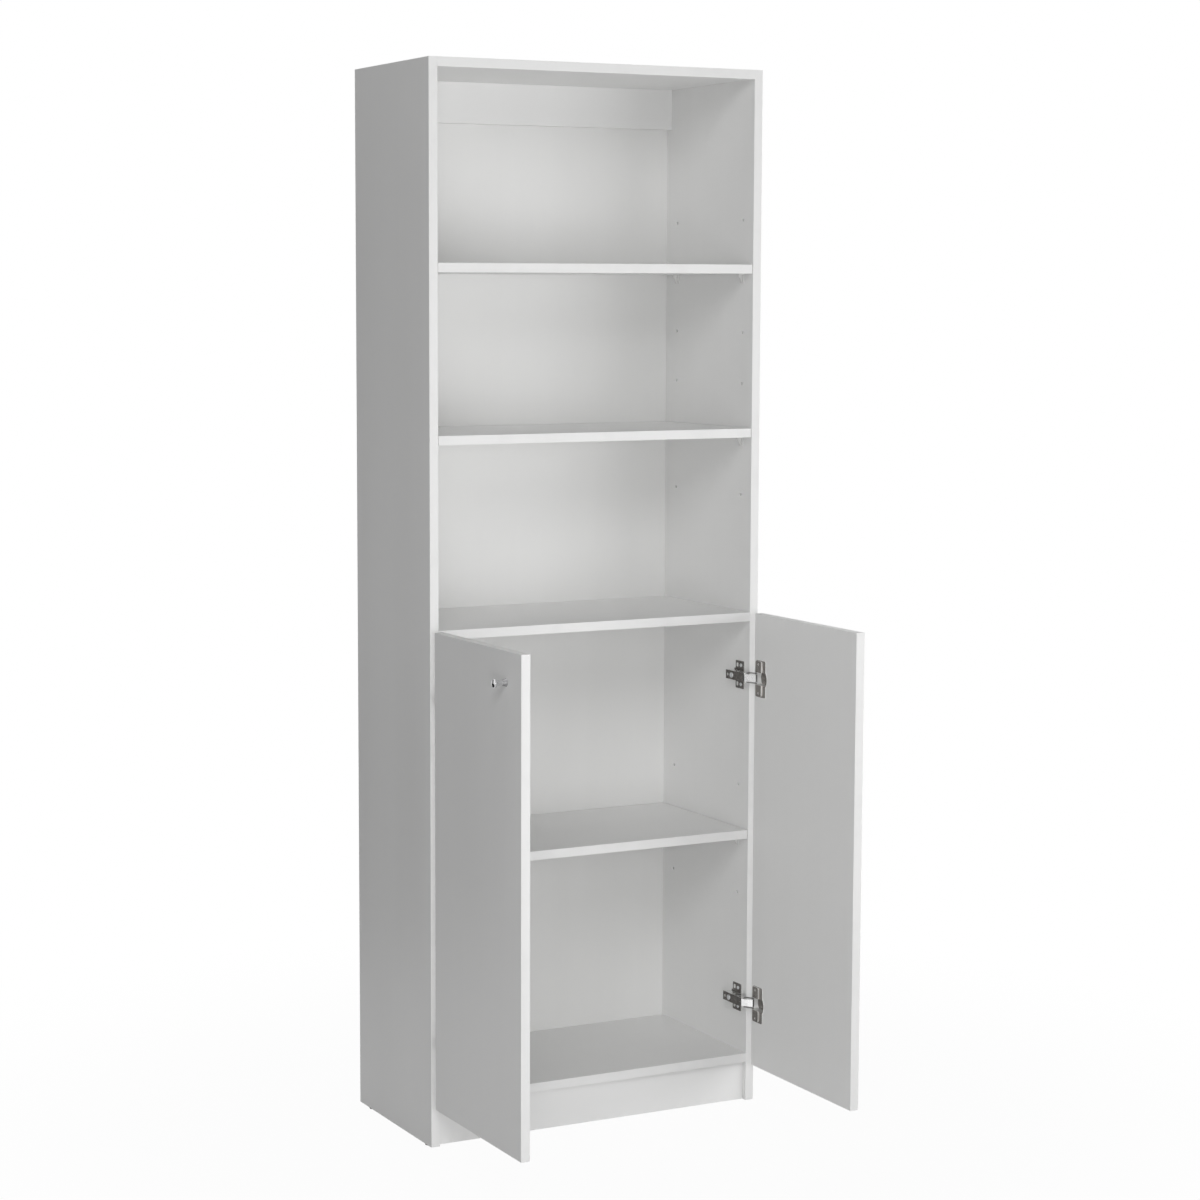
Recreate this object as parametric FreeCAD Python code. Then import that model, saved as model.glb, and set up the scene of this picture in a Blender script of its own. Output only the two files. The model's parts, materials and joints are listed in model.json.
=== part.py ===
import FreeCAD, Part
import math
import os

Vector = FreeCAD.Vector

# A bookcase with two cabinet doors, in millimetres. Seen from the front, +X is to the right, +Y to the back
# and +Z up. The origin is on the floor, halfway across, in the plane of the two upright axes of the doors.
# The doors stand open at a right angle.

# Carcass
CARCASS_WIDTH = 600.0
CARCASS_DEPTH = 283.0
BOARD = 15.0
BAND = 1.0
BAND_ROUNDING = 0.6
KICK_HEIGHT = 66.0
KICK_SETBACK = 10.0
RAIL_HEIGHT = 67.0
SHELF_END_GAP = 1.0
SHELF_SETBACK = 1.0
SHELF_REAR_GAP = 1.0

# Clear heights between the level boards, from the bottom panel up
LOWER_CABINET_CLEAR = 367.0
UPPER_CABINET_CLEAR = 351.0
LOWER_OPEN_CLEAR = 290.0
MIDDLE_OPEN_CLEAR = 253.0
TOP_OPEN_CLEAR = 299.0

# Back panel and its nails
BACK_THICKNESS = 3.0
BACK_MARGIN = 2.0
NAIL_LENGTH = 20.0
NAIL_RADIUS = 0.8
NAIL_HEAD_RADIUS = 2.4
NAIL_HEAD_HEIGHT = 0.6
NAIL_END_DISTANCE = 40.0
SIDE_NAILS = 10
BOARD_NAILS = 4

# Loose shelves: rows of holes and supports
PIN_HOLE_RADIUS = 2.5
PIN_HOLE_DEPTH = 10.0
PIN_HOLE_PITCH = 92.0
PIN_FRONT_SETBACK = 32.0
PIN_REAR_SETBACK = 37.0
PIN_LENGTH = 8.0
PIN_DROP = 4.2
SUPPORT_WIDTH = 11.0
SUPPORT_HEIGHT = 15.0
SUPPORT_REACH = 10.0
SUPPORT_WALL = 2.0
SUPPORT_RIB = 1.6

# Floor glides
GLIDE_HEIGHT = 4.0
GLIDE_RADIUS = 6.5
GLIDE_FOOT_RADIUS = 4.5
GLIDE_FOOT_ROUNDING = 1.2
GLIDE_NAIL_RADIUS = 1.0
GLIDE_NAIL_LENGTH = 14.0
GLIDE_FRONT_SETBACK = 28.0
GLIDE_REAR_SETBACK = 34.0

# Cam fittings and dowels between the boards and the side panels
CAM_RADIUS = 7.4
CAM_HEIGHT = 11.6
CAM_DISTANCE = 24.0
CAM_END_SETBACK = 50.0
CAM_SLOT_WIDTH = 1.4
CAM_SLOT_DEPTH = 1.5
BOLT_RADIUS = 2.5
BOLT_HEAD_RADIUS = 3.3
BOLT_HEAD_LENGTH = 3.0
BOLT_THREAD_RADIUS = 3.0
BOLT_THREAD_LENGTH = 10.0
DOWEL_RADIUS = 4.0
DOWEL_IN_SIDE = 10.0
DOWEL_IN_BOARD = 20.0
DOWEL_SPACING = 32.0

# Doors
DOOR_THICKNESS = 15.0
DOOR_GAP = 3.0
DOOR_SIDE_REVEAL = 0.5
DOORS_MIDDLE_GAP = 2.0
AXIS_INSET = 1.0
OPEN_ANGLE = 90.0

# Hinges: cup in the door
HINGE_END_DISTANCE = 107.0
CUP_RADIUS = 17.5
CUP_DEPTH = 11.5
CUP_WALL = 0.6
CUP_EDGE_DISTANCE = 3.0
CUP_COLLAR_WIDTH = 1.0
WING_LENGTH = 61.0
WING_WIDTH = 28.0
WING_THICKNESS = 0.8
WING_CORNER = 3.0
PAD_LENGTH = 59.0
PAD_WIDTH = 17.0
PAD_OFFSET = 5.0
PAD_CLEARANCE = 0.4
CUP_SCREW_PITCH = 48.0
CUP_SCREW_RADIUS = 1.7
CUP_SCREW_HEAD_RADIUS = 3.3
CUP_SCREW_HEAD_HEIGHT = 1.8
CUP_SCREW_LENGTH = 12.0

# Hinges: pins and links, with the angles of the links when the doors stand open
LINK_PIN_RADIUS = 1.0
OUTER_PIN_REACH = 29.0
OUTER_PIN_LEAD = 9.5
OUTER_LINK_LENGTH = 19.5
OUTER_LINK_EYE_RADIUS = 2.0
OUTER_LINK_THICKNESS = 1.4
OUTER_LINK_OPEN_ANGLE = -46.0
INNER_PIN_REACH = 24.0
INNER_PIN_LEAD = 10.5
INNER_LINK_LENGTH = 16.0
INNER_LINK_EYE_RADIUS = 1.6
INNER_LINK_THICKNESS = 1.2
INNER_LINK_OPEN_ANGLE = -60.0
RIVET_HEAD_RADIUS = 1.5
RIVET_HEAD_HEIGHT = 0.5

# Hinges: arm and mounting plate on the side panel
ARM_WIDTH = 14.8
ARM_SHEET = 1.2
ARM_REAR = 47.0
ARM_REAR_DEPTH = 5.0
ARM_SCREW_SETBACK = 28.0
ARM_SCREW_RADIUS = 2.0
ARM_SCREW_HEAD_RADIUS = 4.5
ARM_SCREW_HEAD_HEIGHT = 1.8
ARM_SCREW_DEPTH = 9.0
ARM_HOLE_SETBACK = 41.2
ARM_HOLE_RADIUS = 2.4
PLATE_FRONT = 14.0
PLATE_REAR = 40.0
PLATE_HEIGHT = 46.5
PLATE_THICKNESS = 2.0
PLATE_CORNER = 2.0
PLATE_SPINE_WIDTH = 20.0
PLATE_SPINE_REAR = 44.0
PLATE_BLOCK_WIDTH = 9.6
PLATE_BLOCK_LENGTH = 18.0
PLATE_SCREW_SETBACK = 22.5
PLATE_SCREW_PITCH = 32.0
PLATE_SCREW_RADIUS = 1.75
PLATE_SCREW_HEAD_RADIUS = 3.0
PLATE_SCREW_HEAD_HEIGHT = 1.6
PLATE_SCREW_LENGTH = 12.0
PLATE_SLOT_SETBACK = 34.6
PLATE_SLOT_WIDTH = 6.0
PLATE_SLOT_HEIGHT = 7.2
PLATE_SLOT_ROUNDING = 2.0

# Door knobs
KNOB_EDGE_DISTANCE = 50.0
KNOB_TOP_DISTANCE = 47.0
KNOB_LENGTH = 22.0
KNOB_FOOT_RADIUS = 6.3
KNOB_NECK_DISTANCE = 10.5
KNOB_NECK_RADIUS = 4.0
KNOB_HEAD_RADIUS = 6.6
KNOB_HEAD_LENGTH = 4.6
KNOB_EDGE_ROUNDING = 1.2
KNOB_STUD_RADIUS = 2.0
KNOB_STUD_IN_KNOB = 10.0
KNOB_STUD_IN_DOOR = 11.0

# What all cross-slotted screws share, with two shares of their heads' own sizes
CROSS_SLOT_WIDTH = 1.0
CROSS_SLOT_DEPTH = 0.9
CROSS_SLOT_SHARE = 0.6
SCREW_HEAD_ROUNDING_SHARE = 0.45

# Clearances
FIT = 0.05
END_FIT = 0.4
LINK_FIT = 0.2
NOTCH_FIT = 0.6
POCKET_FIT = 1.0

# Planes that follow from the sizes above. The right-hand side is drawn, and the left-hand one mirrors it.
SIDE_X = CARCASS_WIDTH / 2
INNER_X = SIDE_X - BOARD
FRONT_Y = DOOR_GAP + DOOR_THICKNESS - AXIS_INSET
REAR_Y = FRONT_Y + CARCASS_DEPTH
FEET_Z = GLIDE_HEIGHT
BOTTOM_PANEL_Z = FEET_Z + KICK_HEIGHT
CABINET_SHELF_Z = BOTTOM_PANEL_Z + BOARD + LOWER_CABINET_CLEAR
FIXED_SHELF_Z = CABINET_SHELF_Z + BOARD + UPPER_CABINET_CLEAR
MIDDLE_SHELF_Z = FIXED_SHELF_Z + BOARD + LOWER_OPEN_CLEAR
UPPER_SHELF_Z = MIDDLE_SHELF_Z + BOARD + MIDDLE_OPEN_CLEAR
TOP_PANEL_Z = UPPER_SHELF_Z + BOARD + TOP_OPEN_CLEAR
TOP_Z = TOP_PANEL_Z + BOARD
FIXED_BOARDS = {"top_panel": TOP_PANEL_Z, "fixed_shelf": FIXED_SHELF_Z, "bottom_panel": BOTTOM_PANEL_Z}
LOOSE_SHELVES = {
    "upper_shelf": UPPER_SHELF_Z,
    "middle_shelf": MIDDLE_SHELF_Z,
    "cabinet_shelf": CABINET_SHELF_Z,
}
RAIL_BOTTOM_Z = TOP_PANEL_Z - RAIL_HEIGHT
AXIS_X = SIDE_X - AXIS_INSET
DOOR_FACE_Y = -AXIS_INSET
DOOR_BACK_Y = DOOR_FACE_Y + DOOR_THICKNESS
DOOR_FREE_X = DOORS_MIDDLE_GAP / 2
DOOR_HINGE_X = SIDE_X - DOOR_SIDE_REVEAL
DOOR_BOTTOM_Z = BOTTOM_PANEL_Z
DOOR_TOP_Z = FIXED_SHELF_Z + BOARD
HINGE_HEIGHTS = {"upper": DOOR_TOP_Z - HINGE_END_DISTANCE, "lower": DOOR_BOTTOM_Z + HINGE_END_DISTANCE}

RIGHT = Vector(1, 0, 0)
BACK = Vector(0, 1, 0)
UP = Vector(0, 0, 1)
MIRROR_PLANE = Vector(0, 0, 0)
QUARTER_ARC_INSET = 1 - math.sqrt(0.5)
TINY = 0.01


# Shapes


def block(x, y, z):
    """A box between two values of X, Y and Z each."""
    corner = Vector(x[0], y[0], z[0])
    return Part.makeBox(x[1] - x[0], y[1] - y[0], z[1] - z[0], corner)


def around(centre, width):
    """The two values half a width to each side of a centre."""
    return (centre - width / 2, centre + width / 2)


def rod(radius, length, start, direction):
    return Part.makeCylinder(radius, length, start, direction)


def mirrored(shape):
    return shape.mirror(MIRROR_PLANE, RIGHT)


def both_sides(shapes):
    return shapes + [mirrored(shape) for shape in shapes]


def without(shape, holes):
    return shape.cut(Part.makeCompound(holes)) if holes else shape


def joined(shapes):
    return shapes[0].fuse(shapes[1:]).removeSplitter()


def rounded_block(x, y, z, radius, axis):
    """A block whose four edges along an axis are rounded."""
    shape = block(x, y, z)
    edges = [edge for edge in shape.Edges if edge.tangentAt(edge.FirstParameter).cross(axis).Length < TINY]
    return shape.makeFillet(radius, edges)


def strip(start, along, across, inward, length, width):
    """An edging strip with its two outer edges rounded, from an outer corner of the edge that it covers."""
    rounding = min(BAND_ROUNDING, 0.9 * BAND)
    slant = (across + inward) * rounding * QUARTER_ARC_INSET
    far_slant = (inward - across) * rounding * QUARTER_ARC_INSET
    far = start + across * width
    near_foot = start + inward * BAND
    far_foot = far + inward * BAND
    edges = [
        Part.makeLine(near_foot, start + inward * rounding),
        Part.Arc(start + inward * rounding, start + slant, start + across * rounding).toShape(),
        Part.makeLine(start + across * rounding, far - across * rounding),
        Part.Arc(far - across * rounding, far + far_slant, far + inward * rounding).toShape(),
        Part.makeLine(far + inward * rounding, far_foot),
        Part.makeLine(far_foot, near_foot),
    ]
    return Part.Face(Part.Wire(edges)).extrude(along * length)


def cross_slot(centre, direction, head_radius):
    """The cross-shaped slot in a screw's head, cut in from the face at centre, against direction."""
    reach = CROSS_SLOT_SHARE * head_radius
    bars = []
    for angle in (0, 90):
        bar = Part.makeBox(2 * reach, CROSS_SLOT_WIDTH, CROSS_SLOT_DEPTH)
        bar.translate(Vector(-reach, -CROSS_SLOT_WIDTH / 2, -CROSS_SLOT_DEPTH))
        bar.rotate(Vector(0, 0, 0), UP, angle)
        bars.append(bar)
    slot = joined(bars)
    slot.Placement = FreeCAD.Placement(centre, FreeCAD.Rotation(UP, direction)).multiply(slot.Placement)
    return slot


def pan_screw(seat, direction, radius, length, head_size):
    """A screw whose head stands on its seat, towards direction, and whose shank goes the other way.
    The head's size is its radius and its height."""
    head_radius, head_height = head_size
    head = rod(head_radius, head_height, seat, direction)
    rim = [edge for edge in head.Edges if abs((edge.CenterOfMass - seat).dot(direction) - head_height) < TINY]
    head = head.makeFillet(SCREW_HEAD_ROUNDING_SHARE * head_height, rim)
    shank = rod(radius, length, seat, -direction)
    face = seat + direction * head_height
    return joined([head, shank]).cut(cross_slot(face, direction, head_radius))


def turned(shape, angle):
    """A copy of a shape, swung about the right-hand door's axis."""
    copy = shape.copy()
    copy.rotate(Vector(AXIS_X, 0, 0), UP, angle)
    return copy


def bar(start, end, start_radius, end_radius, thickness):
    """A flat bar, thick along +Z, around two points, with its edges tangent to the round ends."""
    along = end - start
    lean = (start_radius - end_radius) / along.Length
    forward = along.normalize() * lean
    across = UP.cross(along) * math.sqrt(1 - lean * lean)
    corners = [
        start + (forward + across) * start_radius,
        end + (forward + across) * end_radius,
        end + (forward - across) * end_radius,
        start + (forward - across) * start_radius,
    ]
    middle = Part.Face(Part.makePolygon(corners + corners[:1])).extrude(UP * thickness)
    return joined([middle, rod(start_radius, thickness, start, UP), rod(end_radius, thickness, end, UP)])


# Joinery: each fitting returns its pieces and the spaces that they need


def cam_fitting(y, z, face):
    """A cam bolt in the side panel and the cam that pulls on it, at mid-thickness of a board.
    The cam's slotted end looks towards face."""
    axis_point = Vector(INNER_X, y, z)
    cam_point = axis_point - RIGHT * CAM_DISTANCE
    cam_end = cam_point + face * (BOARD / 2 - END_FIT)
    bolt_end = CAM_DISTANCE - BOLT_HEAD_RADIUS
    thread = rod(BOLT_THREAD_RADIUS, BOLT_THREAD_LENGTH, axis_point, RIGHT)
    shank = rod(BOLT_RADIUS, bolt_end + BOLT_HEAD_LENGTH, axis_point, -RIGHT)
    head = rod(BOLT_HEAD_RADIUS, BOLT_HEAD_LENGTH, axis_point - RIGHT * bolt_end, -RIGHT)
    bolt = joined([thread, shank, head])
    cam = rod(CAM_RADIUS, CAM_HEIGHT, cam_end, -face)
    hollow_start = cam_point - RIGHT * BOLT_HEAD_LENGTH
    hollow = rod(BOLT_HEAD_RADIUS + END_FIT, CAM_RADIUS + BOLT_HEAD_LENGTH, hollow_start, RIGHT)
    side = RIGHT.cross(face)
    slot = block((-CAM_RADIUS, CAM_RADIUS), around(0, CAM_SLOT_WIDTH), (-CAM_SLOT_DEPTH, 0))
    slot.Placement = FreeCAD.Placement(cam_end, FreeCAD.Rotation(RIGHT, side, face, "ZXY"))
    cam = cam.cut(hollow).cut(slot)
    pocket = rod(CAM_RADIUS + FIT, CAM_HEIGHT + 2 * END_FIT, cam_end + face * END_FIT, -face)
    tunnel = rod(DOWEL_RADIUS, CAM_DISTANCE, axis_point, -RIGHT)
    thread_hole = rod(BOLT_THREAD_RADIUS + FIT, BOLT_THREAD_LENGTH + END_FIT, axis_point, RIGHT)
    return {"bolt": bolt, "cam": cam, "in_board": [pocket, tunnel], "in_side": thread_hole}


def dowel_fitting(y, z):
    start = Vector(INNER_X - DOWEL_IN_BOARD, y, z)
    dowel = rod(DOWEL_RADIUS, DOWEL_IN_BOARD + DOWEL_IN_SIDE, start, RIGHT)
    length = DOWEL_IN_BOARD + DOWEL_IN_SIDE + 2 * END_FIT
    space = rod(DOWEL_RADIUS + FIT, length, start - RIGHT * END_FIT, RIGHT)
    return {"dowel": dowel, "space": space}


def joinery(places):
    """The fittings at a list of (kind, y, z, face) places, all on the right-hand side."""
    found = {"bolts": [], "cams": [], "dowels": [], "in_board": [], "in_side": []}
    for kind, y, z, face in places:
        if kind == "cam":
            fitting = cam_fitting(y, z, face)
            found["bolts"].append(fitting["bolt"])
            found["cams"].append(fitting["cam"])
            found["in_board"] += fitting["in_board"]
            found["in_side"].append(fitting["in_side"])
        else:
            fitting = dowel_fitting(y, z)
            found["dowels"].append(fitting["dowel"])
            found["in_board"].append(fitting["space"])
            found["in_side"].append(fitting["space"])
    return found


def flat_board_places(bottom_z, face):
    """Cams near the front and back of a level board, and a dowel next to each."""
    z = bottom_z + BOARD / 2
    front = FRONT_Y + CAM_END_SETBACK
    rear = REAR_Y - CAM_END_SETBACK
    return [
        ("cam", front, z, face),
        ("cam", rear, z, face),
        ("dowel", front + DOWEL_SPACING, z, face),
        ("dowel", rear - DOWEL_SPACING, z, face),
    ]


def upright_board_places(y, bottom_z, height):
    """One cam and one dowel at each end of a board that stands on edge, reached from behind."""
    z = bottom_z + height / 2
    return [("cam", y, z - DOWEL_SPACING / 2, BACK), ("dowel", y, z + DOWEL_SPACING / 2, BACK)]


KICK_Y = FRONT_Y + KICK_SETBACK + BOARD / 2
RAIL_Y = REAR_Y - BOARD / 2
JOINERY = {
    "top_panel": joinery(flat_board_places(FIXED_BOARDS["top_panel"], UP)),
    "fixed_shelf": joinery(flat_board_places(FIXED_BOARDS["fixed_shelf"], -UP)),
    "bottom_panel": joinery(flat_board_places(FIXED_BOARDS["bottom_panel"], -UP)),
    "kick_board": joinery(upright_board_places(KICK_Y, FEET_Z, KICK_HEIGHT)),
    "top_rear_rail": joinery(upright_board_places(RAIL_Y, RAIL_BOTTOM_Z, RAIL_HEIGHT)),
}


# Nails through the back panel


def spread(first, last, count):
    """Evenly spaced values from first to last."""
    return [first + (last - first) * step / (count - 1) for step in range(count)]


def nail_places():
    side_heights = spread(BOTTOM_PANEL_Z + NAIL_END_DISTANCE, RAIL_BOTTOM_Z - NAIL_END_DISTANCE, SIDE_NAILS)
    places = [(sign * (SIDE_X - BOARD / 2), z) for z in side_heights for sign in (-1, 1)]
    columns = spread(-INNER_X + 2 * NAIL_END_DISTANCE, INNER_X - 2 * NAIL_END_DISTANCE, BOARD_NAILS)
    for bottom_z in FIXED_BOARDS.values():
        places += [(x, bottom_z + BOARD / 2) for x in columns]
    return places


def nail(x, z):
    face = Vector(x, REAR_Y + BACK_THICKNESS, z)
    shank = rod(NAIL_RADIUS, NAIL_LENGTH, face, -BACK)
    return joined([shank, rod(NAIL_HEAD_RADIUS, NAIL_HEAD_HEIGHT, face, -BACK)])


def nail_hole(x, z):
    face = Vector(x, REAR_Y + BACK_THICKNESS, z)
    shank = rod(NAIL_RADIUS + FIT, NAIL_LENGTH + END_FIT, face, -BACK)
    return joined([shank, rod(NAIL_HEAD_RADIUS + FIT, NAIL_HEAD_HEIGHT, face, -BACK)])


NAIL_HOLES = [nail_hole(x, z) for x, z in nail_places()]


# Loose shelves


def pin_columns():
    return [FRONT_Y + PIN_FRONT_SETBACK, REAR_Y - PIN_REAR_SETBACK]


def pin_holes():
    """Three rows of holes for each loose shelf: the one in use, one above and one below."""
    holes = []
    for bottom_z in LOOSE_SHELVES.values():
        for row in (-1, 0, 1):
            z = bottom_z - PIN_DROP + row * PIN_HOLE_PITCH
            starts = [Vector(INNER_X, y, z) for y in pin_columns()]
            holes += [rod(PIN_HOLE_RADIUS, PIN_HOLE_DEPTH, start, RIGHT) for start in starts]
    return holes


def shelf_support(y, underside):
    """A plastic bracket: a pin in the side panel, a wall plate, a ledge under the shelf and a rib."""
    wide = around(y, SUPPORT_WIDTH)
    wall = block((INNER_X - SUPPORT_WALL, INNER_X), wide, (underside - SUPPORT_HEIGHT, underside))
    ledge = block((INNER_X - SUPPORT_REACH, INNER_X), wide, (underside - SUPPORT_WALL, underside))
    rib_y = y - SUPPORT_RIB / 2
    inner = INNER_X - SUPPORT_WALL / 2
    corners = [
        Vector(inner, rib_y, underside - SUPPORT_HEIGHT),
        Vector(inner, rib_y, underside - SUPPORT_WALL / 2),
        Vector(INNER_X - SUPPORT_REACH, rib_y, underside - SUPPORT_WALL / 2),
        Vector(INNER_X - SUPPORT_REACH, rib_y, underside - SUPPORT_WALL),
        Vector(INNER_X - SUPPORT_WALL, rib_y, underside - SUPPORT_HEIGHT),
    ]
    rib = Part.Face(Part.makePolygon(corners + corners[:1])).extrude(BACK * SUPPORT_RIB)
    pin = rod(PIN_HOLE_RADIUS - FIT, PIN_LENGTH, Vector(INNER_X, y, underside - PIN_DROP), RIGHT)
    return joined([wall, ledge, rib, pin])


def shelf_supports():
    heights = LOOSE_SHELVES.values()
    return both_sides([shelf_support(y, underside) for underside in heights for y in pin_columns()])


# Floor glides


def glide_places():
    return [FRONT_Y + GLIDE_FRONT_SETBACK, REAR_Y - GLIDE_REAR_SETBACK]


def floor_glide(y):
    """A domed plastic foot with its nail moulded in."""
    foot = Vector(SIDE_X - BOARD / 2, y, 0)
    dome = Part.makeCone(GLIDE_FOOT_RADIUS, GLIDE_RADIUS, GLIDE_HEIGHT, foot, UP)
    floor_rim = [edge for edge in dome.Edges if edge.CenterOfMass.z < TINY]
    dome = dome.makeFillet(GLIDE_FOOT_ROUNDING, floor_rim)
    return joined([dome, rod(GLIDE_NAIL_RADIUS, GLIDE_HEIGHT + GLIDE_NAIL_LENGTH, foot, UP)])


def glide_hole(y):
    start = Vector(SIDE_X - BOARD / 2, y, FEET_Z)
    return rod(GLIDE_NAIL_RADIUS + FIT, GLIDE_NAIL_LENGTH + END_FIT, start, UP)


# Carcass boards


def plate_screw_seats(z):
    """Where the two screws of a mounting plate pass the inner face of the side panel."""
    y = FRONT_Y + PLATE_SCREW_SETBACK
    return [Vector(INNER_X, y, z + offset) for offset in (-PLATE_SCREW_PITCH / 2, PLATE_SCREW_PITCH / 2)]


def side_panel():
    panel = block((INNER_X, SIDE_X), (FRONT_Y + BAND, REAR_Y), (FEET_Z, TOP_Z))
    holes = pin_holes() + NAIL_HOLES + [glide_hole(y) for y in glide_places()]
    for fittings in JOINERY.values():
        holes += fittings["in_side"]
    for z in HINGE_HEIGHTS.values():
        for seat in plate_screw_seats(z):
            holes.append(rod(PLATE_SCREW_RADIUS + FIT, PLATE_SCREW_LENGTH + END_FIT, seat, RIGHT))
    return without(panel, holes)


def fixed_board(name):
    """A level board between the side panels, edged at the front."""
    z = FIXED_BOARDS[name]
    board = block((-INNER_X, INNER_X), (FRONT_Y + BAND, REAR_Y), (z, z + BOARD))
    return without(board, both_sides(JOINERY[name]["in_board"]) + NAIL_HOLES)


def upright_board(name, y, z, height):
    board = block((-INNER_X, INNER_X), around(y, BOARD), (z, z + height))
    return without(board, both_sides(JOINERY[name]["in_board"]))


def loose_shelf(z):
    half = INNER_X - SHELF_END_GAP
    return block((-half, half), (FRONT_Y + SHELF_SETBACK + BAND, REAR_Y - SHELF_REAR_GAP), (z, z + BOARD))


def level_band(z, half_length, setback):
    start = Vector(-half_length, FRONT_Y + setback, z)
    return strip(start, RIGHT, UP, BACK, 2 * half_length, BOARD)


def side_band():
    start = Vector(INNER_X, FRONT_Y, FEET_Z)
    return strip(start, UP, RIGHT, BACK, TOP_Z - FEET_Z, BOARD)


def back_panel():
    half = SIDE_X - BACK_MARGIN
    z = (BOTTOM_PANEL_Z + BACK_MARGIN, TOP_Z - BACK_MARGIN)
    panel = block((-half, half), (REAR_Y, REAR_Y + BACK_THICKNESS), z)
    return without(panel, NAIL_HOLES)


# Doors, drawn shut and then swung open


CUP_X = DOOR_HINGE_X - CUP_EDGE_DISTANCE - CUP_RADIUS
PAD_X = CUP_X + PAD_OFFSET
KNOB_X = DOOR_FREE_X + KNOB_EDGE_DISTANCE
KNOB_Z = DOOR_TOP_Z - KNOB_TOP_DISTANCE
PAD_THICKNESS = DOOR_GAP - PAD_CLEARANCE


def cup_screw_seats(z):
    y = DOOR_BACK_Y + PAD_THICKNESS
    return [Vector(PAD_X, y, z + offset) for offset in (-CUP_SCREW_PITCH / 2, CUP_SCREW_PITCH / 2)]


def door():
    x = (DOOR_FREE_X + BAND, DOOR_HINGE_X - BAND)
    panel = block(x, (DOOR_FACE_Y, DOOR_BACK_Y), (DOOR_BOTTOM_Z + BAND, DOOR_TOP_Z - BAND))
    knob_seat = Vector(KNOB_X, DOOR_FACE_Y, KNOB_Z)
    holes = [rod(KNOB_STUD_RADIUS + FIT, KNOB_STUD_IN_DOOR + END_FIT, knob_seat, BACK)]
    for z in HINGE_HEIGHTS.values():
        cup_start = Vector(CUP_X, DOOR_BACK_Y, z)
        holes.append(rod(CUP_RADIUS + FIT, CUP_DEPTH + FIT, cup_start, -BACK))
        for seat in cup_screw_seats(z):
            holes.append(rod(CUP_SCREW_RADIUS + FIT, CUP_SCREW_LENGTH + END_FIT, seat, -BACK))
    return turned(without(panel, holes), OPEN_ANGLE)


def door_bands():
    """Strips on the door's four edges: the upright ones run the full height, the others fit between them."""
    height = DOOR_TOP_Z - DOOR_BOTTOM_Z
    width = DOOR_HINGE_X - DOOR_FREE_X - 2 * BAND
    hinge_corner = Vector(DOOR_HINGE_X, DOOR_FACE_Y, DOOR_BOTTOM_Z)
    free_corner = Vector(DOOR_FREE_X, DOOR_FACE_Y, DOOR_BOTTOM_Z)
    bottom_corner = free_corner + RIGHT * BAND
    top_corner = bottom_corner + UP * height
    bands = [
        strip(hinge_corner, UP, BACK, -RIGHT, height, DOOR_THICKNESS),
        strip(free_corner, UP, BACK, RIGHT, height, DOOR_THICKNESS),
        strip(bottom_corner, RIGHT, BACK, UP, width, DOOR_THICKNESS),
        strip(top_corner, RIGHT, BACK, -UP, width, DOOR_THICKNESS),
    ]
    return [turned(band, OPEN_ANGLE) for band in bands]


def knob_flare(height, radius):
    """The arc that leaves the knob's neck along its axis and widens to a radius at another height."""
    rise = height - KNOB_NECK_DISTANCE
    widening = radius - KNOB_NECK_RADIUS
    arc_radius = (rise * rise + widening * widening) / (2 * widening)
    half_angle = math.asin(rise / arc_radius) / 2
    middle_radius = KNOB_NECK_RADIUS + arc_radius * (1 - math.cos(half_angle))
    middle = Vector(middle_radius, 0, KNOB_NECK_DISTANCE + arc_radius * math.sin(half_angle))
    neck = Vector(KNOB_NECK_RADIUS, 0, KNOB_NECK_DISTANCE)
    return Part.Arc(neck, middle, Vector(radius, 0, height)).toShape()


def knob():
    """A turned knob: a broad foot that narrows to a neck, and a flat-faced head with a rounded rim."""
    head_start = KNOB_LENGTH - KNOB_HEAD_LENGTH
    rounding = min(KNOB_EDGE_ROUNDING, 0.45 * KNOB_HEAD_LENGTH)
    inset = rounding * QUARTER_ARC_INSET
    rim_start = Vector(KNOB_HEAD_RADIUS, 0, KNOB_LENGTH - rounding)
    rim_middle = Vector(KNOB_HEAD_RADIUS - inset, 0, KNOB_LENGTH - inset)
    rim_end = Vector(KNOB_HEAD_RADIUS - rounding, 0, KNOB_LENGTH)
    edges = [
        Part.makeLine(Vector(0, 0, 0), Vector(KNOB_FOOT_RADIUS, 0, 0)),
        knob_flare(0, KNOB_FOOT_RADIUS),
        knob_flare(head_start, KNOB_HEAD_RADIUS),
        Part.makeLine(Vector(KNOB_HEAD_RADIUS, 0, head_start), rim_start),
        Part.Arc(rim_start, rim_middle, rim_end).toShape(),
        Part.makeLine(rim_end, Vector(0, 0, KNOB_LENGTH)),
        Part.makeLine(Vector(0, 0, KNOB_LENGTH), Vector(0, 0, 0)),
    ]
    body = Part.Face(Part.Wire(edges)).revolve(Vector(0, 0, 0), UP, 360)
    bore = rod(KNOB_STUD_RADIUS + FIT, KNOB_STUD_IN_KNOB + END_FIT, Vector(0, 0, 0), UP)
    shape = body.cut(bore)
    shape.Placement = FreeCAD.Placement(Vector(KNOB_X, DOOR_FACE_Y, KNOB_Z), FreeCAD.Rotation(UP, -BACK))
    return turned(shape, OPEN_ANGLE)


def knob_screw():
    """A headless stud, one end in the knob and the other in the door, which it doesn't pass through."""
    start = Vector(KNOB_X, DOOR_FACE_Y - KNOB_STUD_IN_KNOB, KNOB_Z)
    return turned(rod(KNOB_STUD_RADIUS, KNOB_STUD_IN_KNOB + KNOB_STUD_IN_DOOR, start, BACK), OPEN_ANGLE)


# Hinges


def link_end(pin, length, angle):
    return pin + FreeCAD.Rotation(UP, angle).multVec(RIGHT * length)


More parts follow.
